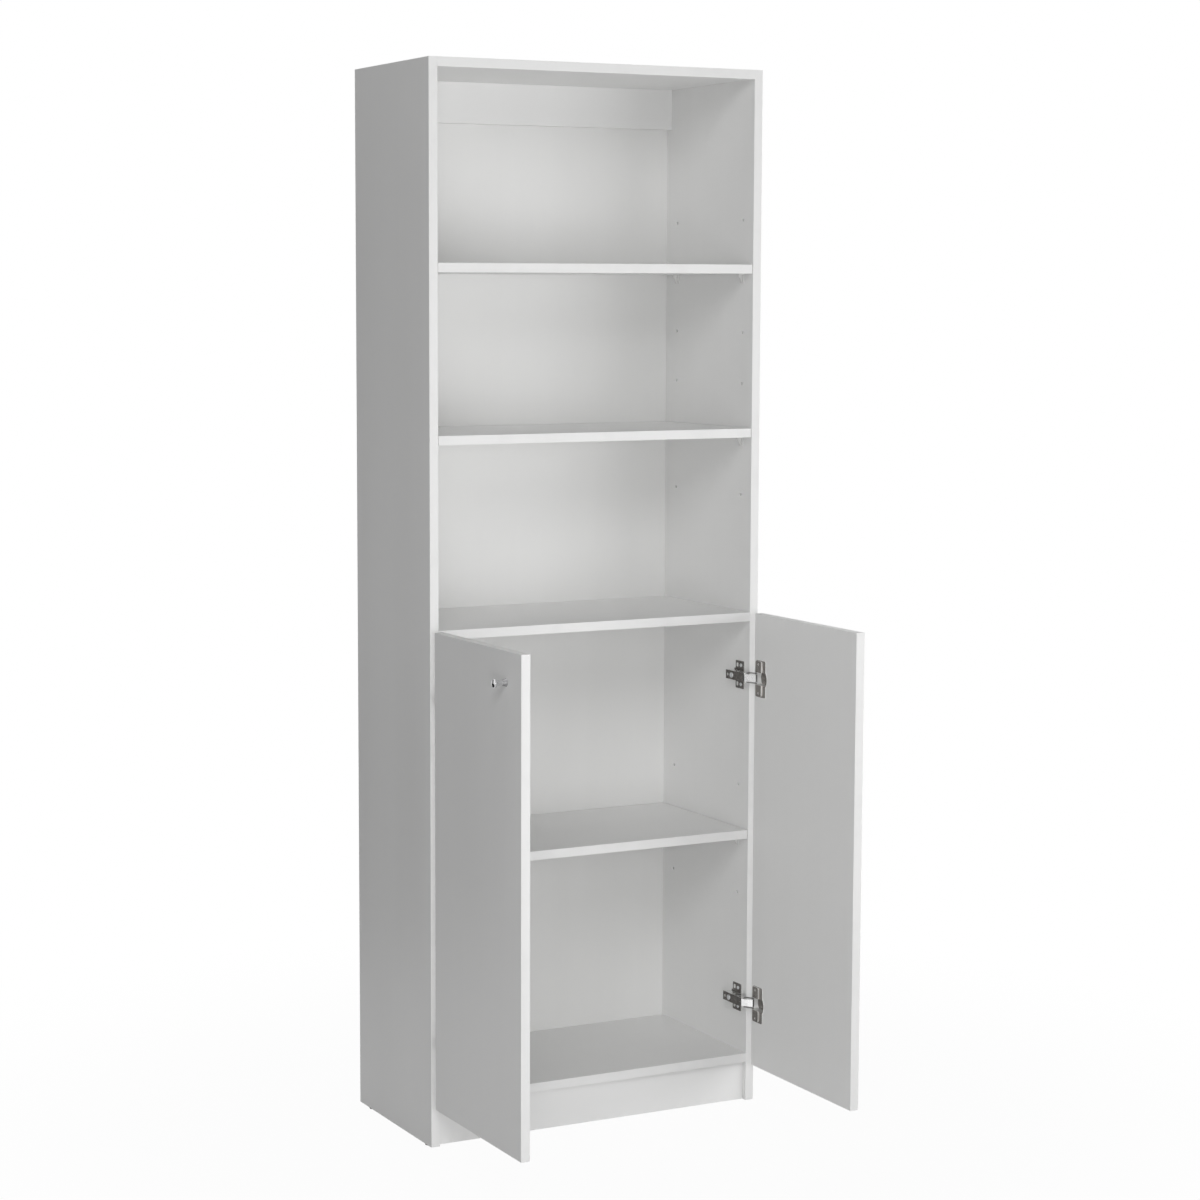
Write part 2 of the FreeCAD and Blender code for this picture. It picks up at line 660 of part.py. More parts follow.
OUTER_ARM_PIN = Vector(AXIS_X - OUTER_PIN_REACH, FRONT_Y - OUTER_PIN_LEAD, 0)
INNER_ARM_PIN = Vector(AXIS_X - INNER_PIN_REACH, FRONT_Y - INNER_PIN_LEAD, 0)
OUTER_LINK_END = link_end(OUTER_ARM_PIN, OUTER_LINK_LENGTH, OUTER_LINK_OPEN_ANGLE)
INNER_LINK_END = link_end(INNER_ARM_PIN, INNER_LINK_LENGTH, INNER_LINK_OPEN_ANGLE)
ARM_OUTER_X = OUTER_ARM_PIN.x - OUTER_LINK_EYE_RADIUS
OUTER_LINK_WIDTH = ARM_WIDTH - 2 * ARM_SHEET - 2 * LINK_FIT
INNER_LINK_REACH = ARM_WIDTH / 2 + INNER_LINK_THICKNESS + 2 * LINK_FIT
CUP_NOTCH_WIDTH = 2 * (INNER_LINK_REACH + NOTCH_FIT)
CUP_POCKET_WIDTH = 2 * (INNER_LINK_REACH + RIVET_HEAD_HEIGHT + POCKET_FIT)


def wing_slab(x, length, width, thickness, z):
    y = (DOOR_BACK_Y, DOOR_BACK_Y + thickness)
    return rounded_block(around(x, width), y, around(z, length), WING_CORNER, BACK)


def hinge_cup(z):
    """The cup sunk in the door, with a collar round its mouth and two wings that a raised pad stiffens."""
    centre = Vector(CUP_X, DOOR_BACK_Y, z)
    body = rod(CUP_RADIUS, CUP_DEPTH, centre, -BACK)
    collar = rod(CUP_RADIUS + CUP_COLLAR_WIDTH, WING_THICKNESS, centre, BACK)
    wings = wing_slab(CUP_X, WING_LENGTH, WING_WIDTH, WING_THICKNESS, z)
    pads = wing_slab(PAD_X, PAD_LENGTH, PAD_WIDTH, PAD_THICKNESS, z)
    cup = joined([body, collar, wings, pads])
    pocket_depth = CUP_DEPTH - CUP_WALL
    mouth = centre + BACK * PAD_THICKNESS
    round_space = rod(CUP_RADIUS - CUP_WALL, pocket_depth + PAD_THICKNESS, mouth, -BACK)
    reach = 2 * CUP_RADIUS
    y = (DOOR_BACK_Y - pocket_depth, DOOR_BACK_Y + PAD_THICKNESS)
    pocket = round_space.common(block(around(CUP_X, reach), y, around(z, CUP_POCKET_WIDTH)))
    notch = block((CUP_X, CUP_X + reach), y, around(z, CUP_NOTCH_WIDTH))
    holes = [pocket, notch]
    for seat in cup_screw_seats(z):
        holes.append(rod(CUP_SCREW_RADIUS + FIT, CUP_SCREW_LENGTH, seat, -BACK))
        holes.append(countersink(seat, FIT))
    return turned(without(cup, holes), OPEN_ANGLE)


def countersink(seat, clearance):
    wide = CUP_SCREW_HEAD_RADIUS + clearance
    narrow = CUP_SCREW_RADIUS + clearance
    return Part.makeCone(wide, narrow, CUP_SCREW_HEAD_HEIGHT + clearance, seat, -BACK)


def cup_screws():
    screws = []
    for z in HINGE_HEIGHTS.values():
        for seat in cup_screw_seats(z):
            shank = rod(CUP_SCREW_RADIUS, CUP_SCREW_LENGTH, seat, -BACK)
            screw = joined([countersink(seat, 0), shank]).cut(cross_slot(seat, BACK, CUP_SCREW_HEAD_RADIUS))
            screws.append(turned(screw, OPEN_ANGLE))
    return screws


def outer_link(z):
    """A broad plate with a rolled eye at each end, between the cheeks of the arm."""
    low = UP * (z - OUTER_LINK_WIDTH / 2)
    ends = [OUTER_ARM_PIN + low, OUTER_LINK_END + low]
    outward = (OUTER_LINK_END - OUTER_ARM_PIN).cross(UP).normalize()
    face = outward * OUTER_LINK_EYE_RADIUS
    back = outward * (OUTER_LINK_EYE_RADIUS - OUTER_LINK_THICKNESS)
    corners = [ends[0] + back, ends[1] + back, ends[1] + face, ends[0] + face]
    plate = Part.Face(Part.makePolygon(corners + corners[:1])).extrude(UP * OUTER_LINK_WIDTH)
    eyes = [rod(OUTER_LINK_EYE_RADIUS, OUTER_LINK_WIDTH, end, UP) for end in ends]
    bores = [rod(LINK_PIN_RADIUS + FIT, OUTER_LINK_WIDTH, end, UP) for end in ends]
    return joined([plate] + eyes).cut(Part.makeCompound(bores))


def outer_link_pins():
    """The pins in the far eyes of the outer links."""
    low = UP * (-OUTER_LINK_WIDTH / 2)
    starts = [OUTER_LINK_END + low + UP * z for z in HINGE_HEIGHTS.values()]
    return [rod(LINK_PIN_RADIUS, OUTER_LINK_WIDTH, start, UP) for start in starts]


def cheek_places(z, thickness, clearance):
    """The undersides of two plates that lie outside the cheeks of the arm, above and below."""
    offset = ARM_WIDTH / 2 + clearance
    return (z + offset, z - offset - thickness)


def inner_link(z):
    """Two bars, one outside each cheek of the arm."""
    bars = []
    for bottom in cheek_places(z, INNER_LINK_THICKNESS, LINK_FIT):
        start = INNER_ARM_PIN + UP * bottom
        end = INNER_LINK_END + UP * bottom
        plate = bar(start, end, INNER_LINK_EYE_RADIUS, INNER_LINK_EYE_RADIUS, INNER_LINK_THICKNESS)
        bars.append(plate.cut(rod(LINK_PIN_RADIUS + FIT, INNER_LINK_THICKNESS, start, UP)))
    return bars


def cheek():
    """A nose around the two pins, a neck, and a foot that stands on the mounting plate."""
    foot_x = INNER_X - PLATE_THICKNESS
    neck_x = INNER_ARM_PIN.x + INNER_LINK_EYE_RADIUS
    rear_y = FRONT_Y + ARM_REAR
    points = [
        Vector(ARM_OUTER_X, OUTER_ARM_PIN.y, 0),
        Vector(neck_x, INNER_ARM_PIN.y, 0),
        Vector(neck_x, FRONT_Y, 0),
        Vector(foot_x, FRONT_Y + PLATE_FRONT, 0),
        Vector(foot_x, FRONT_Y + PLATE_REAR, 0),
        Vector(ARM_OUTER_X + ARM_REAR_DEPTH, rear_y, 0),
        Vector(ARM_OUTER_X, rear_y, 0),
    ]
    side = Part.Face(Part.makePolygon(points + points[:1])).extrude(UP * ARM_SHEET)
    nose = bar(OUTER_ARM_PIN, INNER_ARM_PIN, OUTER_LINK_EYE_RADIUS, INNER_LINK_EYE_RADIUS, ARM_SHEET)
    return joined([side, nose])


def hinge_arm(z):
    """A channel of bent sheet: a web that shows, and a cheek above and below it."""
    cheeks = []
    for bottom in (z - ARM_WIDTH / 2, z + ARM_WIDTH / 2 - ARM_SHEET):
        side = cheek()
        side.translate(UP * bottom)
        cheeks.append(side)
    web_front = OUTER_ARM_PIN.y + OUTER_LINK_EYE_RADIUS + 2 * LINK_FIT
    web_y = (web_front, FRONT_Y + ARM_REAR)
    web = block((ARM_OUTER_X, ARM_OUTER_X + ARM_SHEET), web_y, around(z, ARM_WIDTH))
    screw_start = Vector(ARM_OUTER_X, FRONT_Y + ARM_SCREW_SETBACK, z)
    hole_start = Vector(ARM_OUTER_X, FRONT_Y + ARM_HOLE_SETBACK, z)
    holes = [
        rod(ARM_SCREW_RADIUS + END_FIT, ARM_SHEET, screw_start, RIGHT),
        rod(ARM_HOLE_RADIUS, ARM_SHEET, hole_start, RIGHT),
    ]
    for pin in (OUTER_ARM_PIN, INNER_ARM_PIN):
        holes.append(rod(LINK_PIN_RADIUS + FIT, ARM_WIDTH, pin + UP * (z - ARM_WIDTH / 2), UP))
    return without(joined([web] + cheeks), holes)


def arm_pins():
    """In each arm, a pin across both cheeks for the outer link, and a rivet in each for the inner link."""
    pins = []
    length = ARM_SHEET + INNER_LINK_THICKNESS + 2 * LINK_FIT
    for z in HINGE_HEIGHTS.values():
        pins.append(rod(LINK_PIN_RADIUS, ARM_WIDTH, OUTER_ARM_PIN + UP * (z - ARM_WIDTH / 2), UP))
        for way in (UP, -UP):
            start = INNER_ARM_PIN + UP * z + way * (ARM_WIDTH / 2 - ARM_SHEET)
            shank = rod(LINK_PIN_RADIUS, length, start, way)
            head = rod(RIVET_HEAD_RADIUS, RIVET_HEAD_HEIGHT, start + way * length, way)
            pins.append(joined([shank, head]))
    return pins


def mounting_plate(z):
    """A cross-shaped plate on the side panel, with a raised block under the arm that takes its screw."""
    x = (INNER_X - PLATE_THICKNESS, INNER_X)
    plate_y = (FRONT_Y + PLATE_FRONT, FRONT_Y + PLATE_REAR)
    wings = rounded_block(x, plate_y, around(z, PLATE_HEIGHT), PLATE_CORNER, RIGHT)
    spine_y = (FRONT_Y + PLATE_FRONT, FRONT_Y + PLATE_SPINE_REAR)
    spine = rounded_block(x, spine_y, around(z, PLATE_SPINE_WIDTH), PLATE_CORNER, RIGHT)
    screw_y = FRONT_Y + ARM_SCREW_SETBACK
    block_x = (ARM_OUTER_X + ARM_SHEET, INNER_X)
    raised = block(block_x, around(screw_y, PLATE_BLOCK_LENGTH), around(z, PLATE_BLOCK_WIDTH))
    screw_start = Vector(block_x[0], screw_y, z)
    holes = [rod(ARM_SCREW_RADIUS + FIT, ARM_SCREW_DEPTH + END_FIT, screw_start, RIGHT)]
    rounding = min(PLATE_SLOT_ROUNDING, 0.45 * PLATE_SLOT_WIDTH)
    for seat in plate_screw_seats(z):
        start = seat - RIGHT * PLATE_THICKNESS
        holes.append(rod(PLATE_SCREW_RADIUS + END_FIT, PLATE_THICKNESS, start, RIGHT))
        slot_y = around(FRONT_Y + PLATE_SLOT_SETBACK, PLATE_SLOT_WIDTH)
        slot_z = around(start.z, PLATE_SLOT_HEIGHT)
        holes.append(rounded_block(x, slot_y, slot_z, rounding, RIGHT))
    return without(joined([wings, spine, raised]), holes)


def plate_screws():
    screws = []
    length = PLATE_THICKNESS + PLATE_SCREW_LENGTH
    for z in HINGE_HEIGHTS.values():
        for seat in plate_screw_seats(z):
            top = seat - RIGHT * PLATE_THICKNESS
            head = (PLATE_SCREW_HEAD_RADIUS, PLATE_SCREW_HEAD_HEIGHT)
            screws.append(pan_screw(top, -RIGHT, PLATE_SCREW_RADIUS, length, head))
    return screws


def arm_screws():
    """The screws that clamp the arms to their mounting plates."""
    length = ARM_SHEET + ARM_SCREW_DEPTH
    screws = []
    for z in HINGE_HEIGHTS.values():
        seat = Vector(ARM_OUTER_X, FRONT_Y + ARM_SCREW_SETBACK, z)
        head = (ARM_SCREW_HEAD_RADIUS, ARM_SCREW_HEAD_HEIGHT)
        screws.append(pan_screw(seat, -RIGHT, ARM_SCREW_RADIUS, length, head))
    return screws


# All the pieces, by the name of their node


def carcass_nodes():
    nodes = {
        "right_side_panel": [side_panel()],
        "left_side_panel": [mirrored(side_panel())],
        "right_side_front_band": [side_band()],
        "left_side_front_band": [mirrored(side_band())],
        "kick_board": [upright_board("kick_board", KICK_Y, FEET_Z, KICK_HEIGHT)],
        "top_rear_rail": [upright_board("top_rear_rail", RAIL_Y, RAIL_BOTTOM_Z, RAIL_HEIGHT)],
        "back_panel": [back_panel()],
        "back_panel_nails": [nail(x, z) for x, z in nail_places()],
        "shelf_supports": shelf_supports(),
        "floor_glides": both_sides([floor_glide(y) for y in glide_places()]),
        "cam_bolts": [],
        "cam_locks": [],
        "wood_dowels": [],
        "loose_shelf_front_bands": [],
    }
    for name, z in FIXED_BOARDS.items():
        nodes[name] = [fixed_board(name)]
        nodes[name + "_front_band"] = [level_band(z, INNER_X, 0)]
    for name, z in LOOSE_SHELVES.items():
        nodes[name] = [loose_shelf(z)]
        nodes["loose_shelf_front_bands"].append(level_band(z, INNER_X - SHELF_END_GAP, SHELF_SETBACK))
    for fittings in JOINERY.values():
        nodes["cam_bolts"] += both_sides(fittings["bolts"])
        nodes["cam_locks"] += both_sides(fittings["cams"])
        nodes["wood_dowels"] += both_sides(fittings["dowels"])
    return nodes


def right_door_nodes():
    return {
        "door": [door()],
        "door_edge_bands": door_bands(),
        "knob": [knob()],
        "knob_screw": [knob_screw()],
        "cup_screws": cup_screws(),
        "outer_link_pins": outer_link_pins(),
    }


def right_hinge_nodes():
    nodes = {}
    for level, z in HINGE_HEIGHTS.items():
        nodes[level + "_hinge_cup"] = [hinge_cup(z)]
        nodes[level + "_hinge_arm"] = [hinge_arm(z)]
        nodes[level + "_mounting_plate"] = [mounting_plate(z)]
        nodes[level + "_outer_link"] = [outer_link(z)]
        nodes[level + "_inner_link"] = inner_link(z)
    return nodes


def all_nodes():
    nodes = carcass_nodes()
    for name, shapes in {**right_door_nodes(), **right_hinge_nodes()}.items():
        nodes["right_" + name] = shapes
        nodes["left_" + name] = [mirrored(shape) for shape in shapes]
    nodes["arm_pins"] = both_sides(arm_pins())
    nodes["plate_screws"] = both_sides(plate_screws())
    nodes["arm_screws"] = both_sides(arm_screws())
    return nodes


def main():
    os.makedirs("parts", exist_ok=True)
    for name, shapes in all_nodes().items():
        shape = shapes[0] if len(shapes) == 1 else Part.makeCompound(shapes)
        shape.exportStep("parts/" + name + ".step")


main()
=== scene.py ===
import json
import math

import bmesh
import bpy
from mathutils import Matrix, Vector


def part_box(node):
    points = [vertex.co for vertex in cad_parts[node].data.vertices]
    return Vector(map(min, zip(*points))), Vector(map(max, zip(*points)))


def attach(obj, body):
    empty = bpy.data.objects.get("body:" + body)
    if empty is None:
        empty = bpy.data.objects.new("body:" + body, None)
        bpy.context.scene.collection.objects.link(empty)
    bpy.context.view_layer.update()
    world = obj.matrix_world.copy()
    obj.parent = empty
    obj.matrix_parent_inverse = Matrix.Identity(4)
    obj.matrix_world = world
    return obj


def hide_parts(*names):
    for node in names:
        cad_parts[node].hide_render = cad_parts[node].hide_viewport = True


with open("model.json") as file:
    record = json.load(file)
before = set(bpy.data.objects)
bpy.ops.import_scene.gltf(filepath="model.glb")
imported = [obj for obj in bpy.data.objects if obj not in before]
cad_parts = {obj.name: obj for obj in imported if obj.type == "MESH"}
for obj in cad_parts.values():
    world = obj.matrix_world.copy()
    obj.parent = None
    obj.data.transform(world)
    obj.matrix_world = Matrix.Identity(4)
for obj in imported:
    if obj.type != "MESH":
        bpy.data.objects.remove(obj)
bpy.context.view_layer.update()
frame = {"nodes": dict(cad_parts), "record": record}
scene = bpy.context.scene

BODIES = frame["record"]["behaviour"]["bodies"]
BODY_OF = {node: body for body, nodes in BODIES.items() for node in nodes}
SLOT_OF = {part["node"]: part["material_slot"] for part in frame["record"]["subparts"]}

# Camera and studio, in metres, degrees and watts

CAMERA_PLACE = (-2.1016, -3.8428, 1.3531)
CAMERA_AZIMUTH = 26.53
CAMERA_DROP = 5.94
CAMERA_LENS = 82.32
CAMERA_SHIFT = (0.0818, -0.0146)
CAMERA_REACH = 60.0

LAMP_AIM = Vector((0.0, 0.1, 0.9))
LAMPS = {
    "high_left_lamp": {"place": (-2.2, -3.4, 3.2), "size": (2.2, 1.6), "power": 49.0},
    "near_left_lamp": {"place": (-1.0, -2.6, 0.7), "size": (1.4, 1.4), "power": 20.5},
    "low_right_lamp": {"place": (2.2, -3.8, 0.9), "size": (2.2, 1.6), "power": 35.0},
    "side_right_lamp": {"place": (3.6, -2.4, 1.0), "size": (2.0, 2.0), "power": 23.0},
    "rear_lamp": {"place": (0.7, 4.2, 1.5), "size": (2.0, 2.0), "power": 70.0},
    "top_lamp": {"place": (0.0, 0.7, 4.2), "size": (1.2, 0.8), "power": 20.0},
}
WORLD_STRENGTH = 0.14
PURE_WHITE = (1.0, 1.0, 1.0)

FLOOR_HALF = 30.0
FLOOR_COLOUR = (0.68, 0.68, 0.68)
FLOOR_FADE_START = 0.5
FLOOR_FADE_END = 1.5
FLOOR_WHITENESS = 0.96

# Glowing sheets that only polished things show: painted dark reflections in the chrome knobs and the satin
# boards.
CARDS = {
    "card_behind": {"left": (-3.2, 3.3), "right": (-1.3, 4.2), "height": 1.9, "tone": 0.24},
    "low_card": {"left": (-1.45, 0.86), "right": (-0.55, 1.32), "height": 0.55, "tone": 0.02},
    "card_by_knob": {"left": (-1.0, -0.8), "right": (-0.38, -0.8), "height": 1.6, "tone": 0.3},
}

# Rounded edges

MILLIMETRE = 0.001
BOARD_ROUNDING = 0.25 * MILLIMETRE
MOULDED_ROUNDING = 0.2 * MILLIMETRE
PRESSED_ROUNDING = 0.2 * MILLIMETRE
FINE_ROUNDING = 0.1 * MILLIMETRE
ROUNDING_STEPS = 2
LONG_EDGE = 4 * MILLIMETRE
SHORT_EDGE = 0.9 * MILLIMETRE
WELD = 0.002 * MILLIMETRE
FLAT_ANGLE = math.radians(0.4)
SHARP_ANGLE = math.radians(32)
# Hinge faces that turn further than this from the door's direction get a painted highlight.
PAINTED_HIGHLIGHT_TURN = 0.6
LINK_PLATE_AREA = 60 * MILLIMETRE * MILLIMETRE

# Knob, in millimetres

KNOB_FOOT_RADIUS = 6.3
KNOB_NECK_RADIUS = 4.0
KNOB_NECK_HEIGHT = 10.5
KNOB_HEAD_RADIUS = 6.6
KNOB_HEAD_HEIGHT = 17.4
KNOB_LENGTH = 22.0
KNOB_LIP = 0.3
KNOB_ROUNDING = 0.8
KNOB_DOME = 0.7
KNOB_PAINTED_FOOT_DEPTH = 7.0
FLARE_STEPS = 14
DOME_STEPS = 12
TURNED_STEPS = 96

# Values in a material

MIX_FACTOR = 0
MIX_FIRST = 6
MIX_SECOND = 7
MIX_RESULT = 2


class Value:
    """A socket of a node. Sums and products of values add the Math nodes that work them out."""

    def __init__(self, nodes, socket):
        self.nodes = nodes
        self.socket = socket

    def math(self, operation, other):
        return self.nodes.add("ShaderNodeMath", {"operation": operation}, {0: self, 1: other})

    def __add__(self, other):
        return self.math("ADD", other)

    __radd__ = __add__

    def __mul__(self, other):
        return self.math("MULTIPLY", other)

    __rmul__ = __mul__

    def mapped(self, low, high, to_low=0.0, to_high=1.0):
        """The value carried from one range to another, and held inside it."""
        settings = {"interpolation_type": "SMOOTHSTEP"}
        sockets = {"Value": self, "From Min": low, "From Max": high, "To Min": to_low, "To Max": to_high}
        return self.nodes.add("ShaderNodeMapRange", settings, sockets)


class Nodes:
    """The nodes of a material or of the world, under construction."""

    def __init__(self, tree):
        self.tree = tree

    def add(self, kind, settings=None, sockets=None, output=0):
        """Adds a node. Its settings come first, and then the values or links of its sockets."""
        node = self.tree.nodes.new(kind)
        for key, value in (settings or {}).items():
            setattr(node, key, value)
        for key, value in (sockets or {}).items():
            self.put(node.inputs[key], value)
        return Value(self, node.outputs[output])

    def put(self, socket, value):
        """Links a value to a socket, or sets the socket to a number or a colour."""
        if isinstance(value, Value):
            self.tree.links.new(value.socket, socket)
        elif socket.type == "RGBA":
            socket.default_value = (*value, 1.0)
        else:
            socket.default_value = value

    def seen(self):
        """One for what the camera sees, straight or in metal or glass, and nought where light is gathered."""
        names = ("Is Camera Ray", "Is Glossy Ray", "Is Transmission Ray")
        straight, mirrored, through = (self.add("ShaderNodeLightPath", output=name) for name in names)
        return straight.math("MAXIMUM", mirrored).math("MAXIMUM", through)


class Finish(Nodes):
    """A material under construction."""

    def __init__(self, name):
        self.material = bpy.data.materials.new(name)
        self.material.use_nodes = True
        super().__init__(self.material.node_tree)
        self.surface = self.tree.nodes["Principled BSDF"]

    def place(self, stretch=(1, 1, 1)):
        """The place on the object in metres, stretched along each axis."""
        where = self.add("ShaderNodeTexCoord", output="Object")
        return self.add("ShaderNodeVectorMath", {"operation": "MULTIPLY"}, {0: where, 1: stretch})

    def noise(self, scale, detail=2.0, roughness=0.5, stretch=(1, 1, 1)):
        sockets = {"Vector": self.place(stretch), "Scale": scale, "Detail": detail, "Roughness": roughness}
        return self.add("ShaderNodeTexNoise", None, sockets)

    def blend(self, amount, first, second):
        """A colour between two colours."""
        settings = {"data_type": "RGBA", "clamp_factor": True}
        sockets = {MIX_FACTOR: amount, MIX_FIRST: first, MIX_SECOND: second}
        return self.add("ShaderNodeMix", settings, sockets, output=MIX_RESULT)

    def bump(self, height, depth, strength):
        """The surface's direction on a relief of a depth in millimetres."""
        sockets = {"Height": height, "Distance": depth * MILLIMETRE, "Strength": strength}
        return self.add("ShaderNodeBump", None, sockets)

    def coat(self, **sockets):
        """Sets the sockets of the surface, by their names in lower case with underscores."""
        for key, value in sockets.items():
            name = key.replace("_", " ").title().replace("Ior", "IOR")
            self.put(self.surface.inputs[name], value)
        return self.material


# Finishes


def darker(tone, share):
    return [channel * share for channel in tone]


def melamine(name, tone, grain):
    """White melamine on board: a faint grain, a fine pebbled texture and a satin sheen."""
    finish = Finish(name)
    streaks = finish.noise(scale=9.0, detail=5.0, roughness=0.62, stretch=grain)
    cloud = finish.noise(scale=3.1)
    pebble = finish.noise(scale=1500.0, detail=1.0)
    pores = finish.noise(scale=60.0, detail=3.0, stretch=grain)
    shade = (streaks * 0.75 + cloud * 0.25).mapped(0.3, 0.7)
    relief = pebble * 0.3 + pores * 0.7
    return finish.coat(
        base_color=finish.blend(shade, darker(tone, 0.975), tone),
        roughness=streaks.mapped(0.3, 0.7, 0.4, 0.5),
        normal=finish.bump(relief, depth=0.06, strength=0.6),
        specular_ior_level=0.4,
    )


def edging(name, tone):
    """Plastic edging: smoother than the board, with fine rolling marks."""
    finish = Finish(name)
    marks = finish.noise(scale=260.0)
    wear = finish.noise(scale=22.0, detail=4.0).mapped(0.45, 0.7)
    return finish.coat(
        base_color=finish.blend(wear, tone, darker(tone, 0.97)),
        roughness=0.34 + marks * 0.1,
        normal=finish.bump(marks, depth=0.05, strength=0.5),
    )


def plastic(name, tone, roughness):
    """Moulded plastic with a fine mottle."""
    finish = Finish(name)
    mottle = finish.noise(scale=420.0)
    return finish.coat(
        base_color=finish.blend(mottle, darker(tone, 0.93), tone),
        roughness=roughness + mottle * 0.08,
        normal=finish.bump(mottle, depth=0.04, strength=0.5),
    )


def metal(name, tone, roughness, brushing=(1, 1, 1), smudge=0.12):
    """Plated or polished metal, with brushing along one way and faint smudges."""
    finish = Finish(name)
    lines = finish.noise(scale=700.0, stretch=brushing)
    smudges = finish.noise(scale=90.0, detail=3.0).mapped(0.45, 0.7)
    return finish.coat(
        base_color=finish.blend(smudges, tone, darker(tone, 0.9)),
        metallic=1.0,
        roughness=roughness + smudges * smudge + lines * 0.05,
        normal=finish.bump(lines, depth=0.02, strength=0.35),
    )


def bare_wood(name, tone):
    """Wood without a coat, with its grain along the width of the bookcase."""
    finish = Finish(name)
    grain = finish.noise(scale=120.0, detail=4.0, stretch=(0.15, 1, 1))
    return finish.coat(
        base_color=finish.blend(grain, darker(tone, 0.7), tone),
        roughness=0.6,
        normal=finish.bump(grain, depth=0.1, strength=0.6),
    )


WHITE = (0.87, 0.87, 0.865)
UPRIGHT_GRAIN = (1.0, 1.0, 0.035)
LEVEL_GRAIN = (0.035, 1.0, 1.0)
DEPTHWISE_BRUSHING = (1, 0.05, 1)
UPRIGHT_BRUSHING = (1, 1, 0.05)
FINISHES = {
    "white_board": melamine("white_melamine_upright", WHITE, UPRIGHT_GRAIN),
    "white_board_level": melamine("white_melamine_level", WHITE, LEVEL_GRAIN),
    "white_hardboard": melamine("white_back_foil", (0.86, 0.86, 0.852), UPRIGHT_GRAIN),
    "white_edging": edging("white_edging", (0.86, 0.86, 0.855)),
    "white_plastic": plastic("white_moulded_plastic", (0.80, 0.80, 0.79), 0.4),
    "brown_plastic": plastic("brown_moulded_plastic", (0.035, 0.022, 0.016), 0.5),
    "dowel_wood": bare_wood("bare_beech", (0.56, 0.38, 0.2)),
    "cam_metal": metal("die_cast_zinc", (0.42, 0.42, 0.43), 0.45),
    "zinc_steel": metal("zinc_plated_steel", (0.72, 0.73, 0.75), 0.26),
    "hinge_steel": metal("nickel_plated_steel", (0.15, 0.142, 0.135), 0.24, DEPTHWISE_BRUSHING),
    "hinge_cup_steel": metal("nickel_plated_cup", (0.26, 0.247, 0.235), 0.22, UPRIGHT_BRUSHING),
    "hinge_link_steel": metal("bright_nickel_link", (0.97, 0.97, 0.97), 0.2, UPRIGHT_BRUSHING),
    "knob_chrome": metal("polished_chrome", (0.78, 0.78, 0.79), 0.05, smudge=0.04),
}
# Brighter copies of the hinge metals, for the faces that turn away from the door and the side panel: a
# painted highlight that stands in for the lit side walls and edges of the pressed parts.
PAINTED_HIGHLIGHT_EDGES = {
    "hinge_steel": metal("painted_highlight_hinge_edge", (0.78, 0.78, 0.77), 0.2),
    "hinge_cup_steel": metal("painted_highlight_flange_edge", (0.92, 0.92, 0.91), 0.42),
}
# A dark copy of the link metal for the link's eyes and narrow faces: painted shade where the link runs into
# the shadowed cup.
PAINTED_SHADE_EYE = metal("painted_shade_link_eye", (0.16, 0.158, 0.155), 0.3)
# A darker, rougher copy of the chrome for the knob's foot: a painted reflection of the grey door face around
# it.
PAINTED_REFLECTION_FOOT = metal("knob_foot_painted_reflection", (0.34, 0.34, 0.345), 0.34)
LEVEL_BOARDS = {
    "top_panel",
    "upper_shelf",
    "middle_shelf",
    "fixed_shelf",
    "cabinet_shelf",
    "bottom_panel",
    "kick_board",
    "top_rear_rail",
}


def finish_of(node):
    """The finish of a node's slot. On the level boards the grain runs along the width."""
    return FINISHES["white_board_level"] if node in LEVEL_BOARDS else FINISHES[SLOT_OF[node]]


def dress_nodes():
    """Gives every node its finish, for the ones that are shown as they are."""
    for node in SLOT_OF:
        materials = frame["nodes"][node].data.materials
        materials.clear()
        materials.append(finish_of(node))


# Pieces that stand for nodes of the same shape and place, with finer edges and surfaces


def finished_mesh(work, name):
    """A smooth mesh from a form under construction, which is then given up."""
    for face in work.faces:
        face.smooth = True
    mesh = bpy.data.meshes.new(name)
    work.to_mesh(mesh)
    work.free()
    return mesh


def stand_for(node, work):
    """A new piece in a node's place, with the node's finish, that moves with the node's body."""
    name = node + "_shaped"
    mesh = finished_mesh(work, name)
    piece = bpy.data.objects.new(name, mesh)
    scene.collection.objects.link(piece)
    mesh.materials.append(finish_of(node))
    mesh.set_sharp_from_angle(angle=SHARP_ANGLE)
    normals = piece.modifiers.new("normals", "WEIGHTED_NORMAL")
    normals.keep_sharp = True
    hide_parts(node)
    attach(piece, BODY_OF[node])
    return piece


def second_finish(piece, finish, is_chosen):
    """Gives another finish to the faces of a piece that are chosen."""
    piece.data.materials.append(finish)
    for polygon in piece.data.polygons:
        if is_chosen(polygon):
            polygon.material_index = 1


def rounded(node, radius, shortest):
    """The node's shape with its sharp edges rounded, apart from those that are shorter than a length."""
    work = bmesh.new()
    work.from_mesh(frame["nodes"][node].data)
    bmesh.ops.remove_doubles(work, verts=work.verts, dist=WELD)
    bmesh.ops.dissolve_limit(work, angle_limit=FLAT_ANGLE, verts=work.verts, edges=work.edges)
    closed = [edge for edge in work.edges if len(edge.link_faces) == 2 and edge.calc_length() > shortest]
    bmesh.ops.bevel(
        work,
        geom=[edge for edge in closed if edge.calc_face_angle() > SHARP_ANGLE],
        offset=radius,
        segments=ROUNDING_STEPS,
        profile=0.5,
        affect="EDGES",
        clamp_overlap=True,
        loop_slide=False,
    )
    return stand_for(node, work)


def is_painted_highlight_face(polygon):
    """True for a face that doesn't lie flat along the door or the side panel; these faces get a painted
    highlight.
    """
    return abs(polygon.normal.x) < PAINTED_HIGHLIGHT_TURN


def is_painted_shade_face(polygon):
    """True for a face of a link outside its two broad sides; these faces get painted shade."""
    return polygon.area < LINK_PLATE_AREA


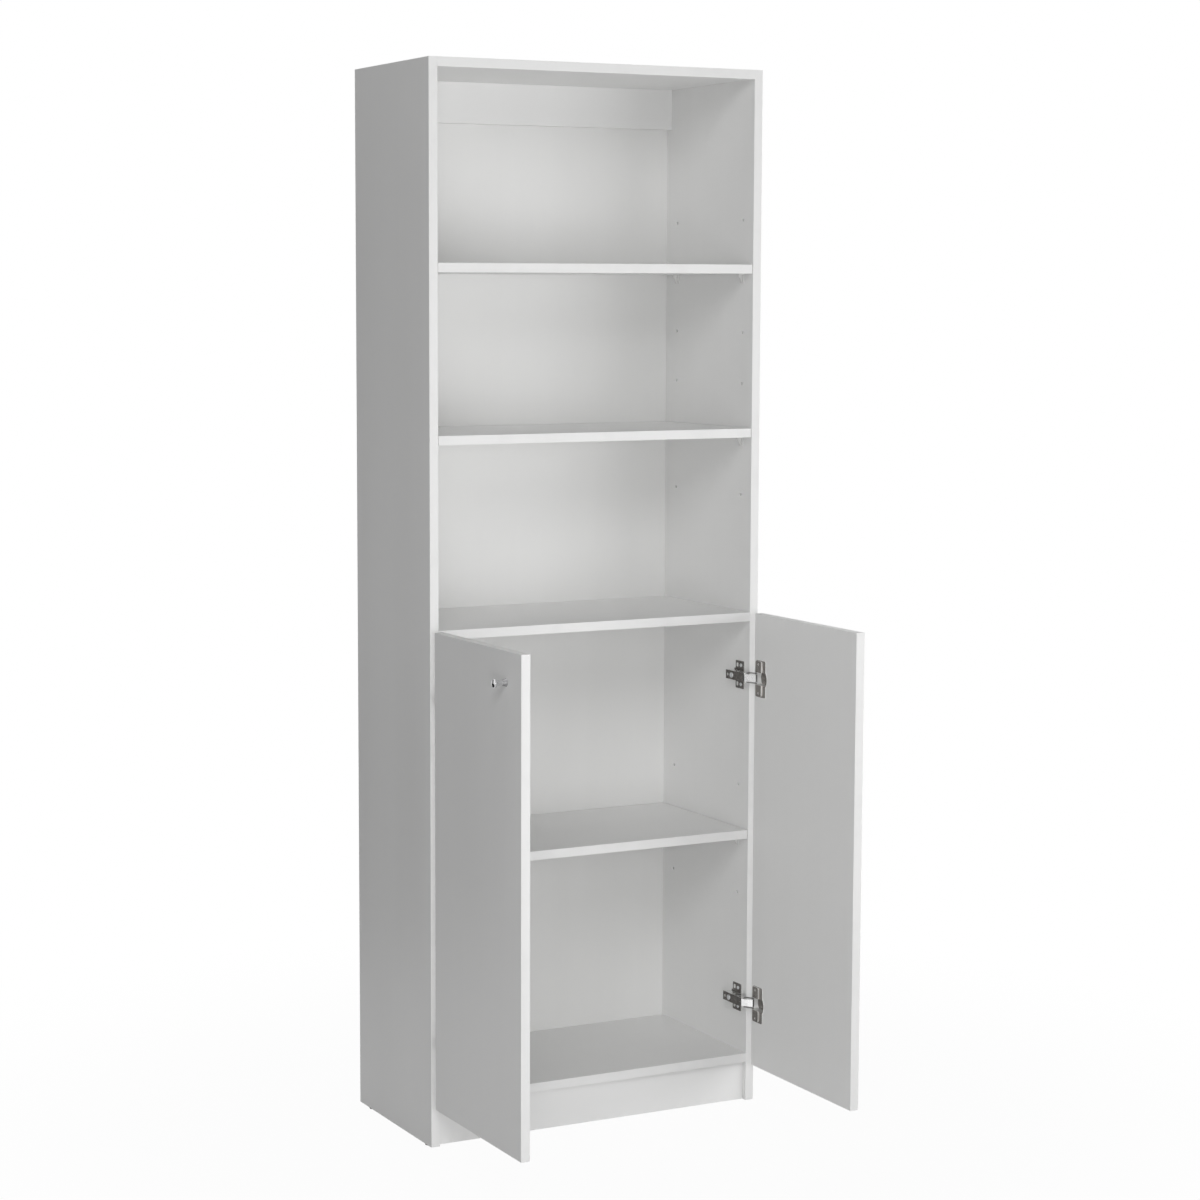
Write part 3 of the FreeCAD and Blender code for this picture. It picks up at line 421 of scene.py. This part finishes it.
def round_edges():
    """Rounds the edges of each piece as sawing, moulding or pressing leaves them."""
    for node, slot in SLOT_OF.items():
        if slot in ("white_board", "white_hardboard", "white_edging"):
            rounded(node, BOARD_ROUNDING, LONG_EDGE)
        elif slot in ("white_plastic", "brown_plastic"):
            rounded(node, MOULDED_ROUNDING, SHORT_EDGE)
        # Hinge parts: faces turned away from the door get a painted highlight.
        elif slot in PAINTED_HIGHLIGHT_EDGES:
            second_finish(rounded(node, PRESSED_ROUNDING, SHORT_EDGE), PAINTED_HIGHLIGHT_EDGES[slot], is_painted_highlight_face)
        # Links: the eyes and narrow faces get painted shade.
        elif slot == "hinge_link_steel":
            second_finish(rounded(node, FINE_ROUNDING, SHORT_EDGE), PAINTED_SHADE_EYE, is_painted_shade_face)
        elif node in ("plate_screws", "arm_screws"):
            rounded(node, FINE_ROUNDING, SHORT_EDGE)


# Knobs


def flare(height, radius):
    """Radii and heights from the neck to a wider radius, along an arc that leaves the neck along the axis."""
    rise = height - KNOB_NECK_HEIGHT
    widening = radius - KNOB_NECK_RADIUS
    arc = (rise * rise + widening * widening) / (2 * widening)
    points = []
    for step in range(FLARE_STEPS + 1):
        along = rise * step / FLARE_STEPS
        outwards = arc - math.sqrt(arc * arc - along * along)
        points.append((KNOB_NECK_RADIUS + outwards, KNOB_NECK_HEIGHT + along))
    return points


def rounded_corner(radius, height, rounding, first, last, steps):
    """A rounded corner, as radii and heights, between two angles in degrees from straight outwards."""
    points = []
    for step in range(steps + 1):
        angle = math.radians(first + (last - first) * step / steps)
        points.append((radius - rounding + rounding * math.cos(angle), height + rounding * math.sin(angle)))
    return points


def dome():
    """The slightly raised face of the head, as radii and heights from its rim to its middle."""
    reach = KNOB_HEAD_RADIUS - KNOB_ROUNDING
    shares = [1 - step / DOME_STEPS for step in range(1, DOME_STEPS + 1)]
    return [(reach * share, KNOB_LENGTH - KNOB_DOME * share * share) for share in shares]


def knob_profile():
    foot = [(0.0, 0.0), (KNOB_FOOT_RADIUS - KNOB_LIP, 0.0)]
    lower = flare(KNOB_LIP, KNOB_FOOT_RADIUS)[::-1]
    upper = flare(KNOB_HEAD_HEIGHT, KNOB_HEAD_RADIUS)[1:-1]
    lip_height = KNOB_HEAD_HEIGHT + KNOB_LIP
    rim_height = KNOB_LENGTH - KNOB_DOME - KNOB_ROUNDING
    lip = rounded_corner(KNOB_HEAD_RADIUS, lip_height, KNOB_LIP, first=-70, last=0, steps=4)
    rim = rounded_corner(KNOB_HEAD_RADIUS, rim_height, KNOB_ROUNDING, first=0, last=90, steps=8)
    return foot + lower + upper + lip + rim + dome()


def turned(profile, origin, axis):
    """A turned form, from radii and heights in millimetres, that stands on a place along an axis."""
    work = bmesh.new()
    verts = [work.verts.new((radius * MILLIMETRE, 0, height * MILLIMETRE)) for radius, height in profile]
    edges = [work.edges.new(pair) for pair in zip(verts, verts[1:])]
    bmesh.ops.spin(
        work,
        geom=verts + edges,
        cent=(0, 0, 0),
        axis=(0, 0, 1),
        angle=math.tau,
        steps=TURNED_STEPS,
        use_merge=True,
    )
    bmesh.ops.remove_doubles(work, verts=work.verts, dist=WELD)
    bmesh.ops.recalc_face_normals(work, faces=work.faces)
    turn = Vector((0, 0, 1)).rotation_difference(Vector(axis)).to_matrix().to_4x4()
    work.transform(Matrix.Translation(origin) @ turn)
    return work


def knob(node):
    """A turned knob that stands on the face of its door and points away from the middle of the bookcase."""
    low, high = (Vector(end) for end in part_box(node))
    middle = (low + high) / 2
    seat = min(low.x, high.x, key=abs)
    outwards = (math.copysign(1, middle.x), 0, 0)
    piece = stand_for(node, turned(knob_profile(), (seat, middle.y, middle.z), outwards))
    # Near the door the knob gets the darker copy of the chrome, a painted reflection of the door.
    depth = KNOB_PAINTED_FOOT_DEPTH * MILLIMETRE
    second_finish(piece, PAINTED_REFLECTION_FOOT, lambda polygon: abs(polygon.center.x - seat) < depth)


# Camera, light and floor


def place_camera():
    data = bpy.data.cameras.new("camera")
    data.lens = CAMERA_LENS
    data.shift_x, data.shift_y = CAMERA_SHIFT
    data.clip_end = CAMERA_REACH
    camera = bpy.data.objects.new("camera", data)
    camera.location = CAMERA_PLACE
    camera.rotation_euler = (math.radians(90 - CAMERA_DROP), 0, math.radians(-CAMERA_AZIMUTH))
    scene.collection.objects.link(camera)
    scene.camera = camera


def lamp(name, place, size, power):
    """A soft lamp that points at the middle of the bookcase and isn't seen by the camera itself."""
    data = bpy.data.lights.new(name, "AREA")
    data.shape = "RECTANGLE"
    data.size, data.size_y = size
    data.energy = power
    light = bpy.data.objects.new(name, data)
    light.location = place
    light.rotation_euler = (LAMP_AIM - Vector(place)).to_track_quat("-Z", "Y").to_euler()
    light.visible_camera = False
    scene.collection.objects.link(light)


def white_world():
    """A world that shows as white and lights the bookcase softly from all round."""
    world = bpy.data.worlds.new("studio")
    world.use_nodes = True
    scene.world = world
    nodes = Nodes(world.node_tree)
    background = nodes.tree.nodes["Background"]
    nodes.put(background.inputs["Color"], PURE_WHITE)
    nodes.put(background.inputs["Strength"], nodes.seen().mapped(0.0, 1.0, WORLD_STRENGTH, 1.0))


def studio_sheet(name, corners, material):
    """A flat sheet between four corners, which belongs to the studio."""
    mesh = bpy.data.meshes.new(name)
    mesh.from_pydata(corners, [], [(0, 1, 2, 3)])
    mesh.materials.append(material)
    sheet = bpy.data.objects.new(name, mesh)
    scene.collection.objects.link(sheet)
    return sheet


def floor():
    """A pale floor that keeps a soft shadow near the bookcase and fades to white around it."""
    finish = Finish("floor")
    finish.coat(base_color=FLOOR_COLOUR, roughness=0.9, specular_ior_level=0.1)
    settings = {"operation": "LENGTH"}
    distance = finish.add("ShaderNodeVectorMath", settings, {0: finish.place()}, output="Value")
    whiteness = distance.mapped(FLOOR_FADE_START, FLOOR_FADE_END, FLOOR_WHITENESS, 1.0)
    glow = finish.add("ShaderNodeEmission", None, {"Color": PURE_WHITE, "Strength": 1.0})
    lit = Value(finish, finish.surface.outputs[0])
    both = finish.add("ShaderNodeMixShader", None, {0: finish.seen() * whiteness, 1: lit, 2: glow})
    finish.put(finish.tree.nodes["Material Output"].inputs["Surface"], both)
    half = FLOOR_HALF
    corners = [(-half, -half, 0), (half, -half, 0), (half, half, 0), (-half, half, 0)]
    studio_sheet("floor", corners, finish.material)


def card(name, left, right, height, tone):
    """An upright sheet on the floor, between two places, that glows a grey tone and which only polished
    things show: it paints darker reflections into them.
    """
    finish = Finish(name)
    grey = (tone, tone, tone)
    finish.coat(base_color=(0, 0, 0), specular_ior_level=0.0, emission_color=grey, emission_strength=1.0)
    corners = [(*left, 0), (*right, 0), (*right, height), (*left, height)]
    sheet = studio_sheet(name, corners, finish.material)
    sheet.visible_camera = False
    sheet.visible_diffuse = False
    sheet.visible_shadow = False


dress_nodes()
round_edges()
for knob_node in ("left_knob", "right_knob"):
    knob(knob_node)

place_camera()
white_world()
for lamp_name, lamp_values in LAMPS.items():
    lamp(lamp_name, **lamp_values)
floor()
for card_name, card_values in CARDS.items():
    card(card_name, **card_values)
scene.view_settings.view_transform = "Standard"
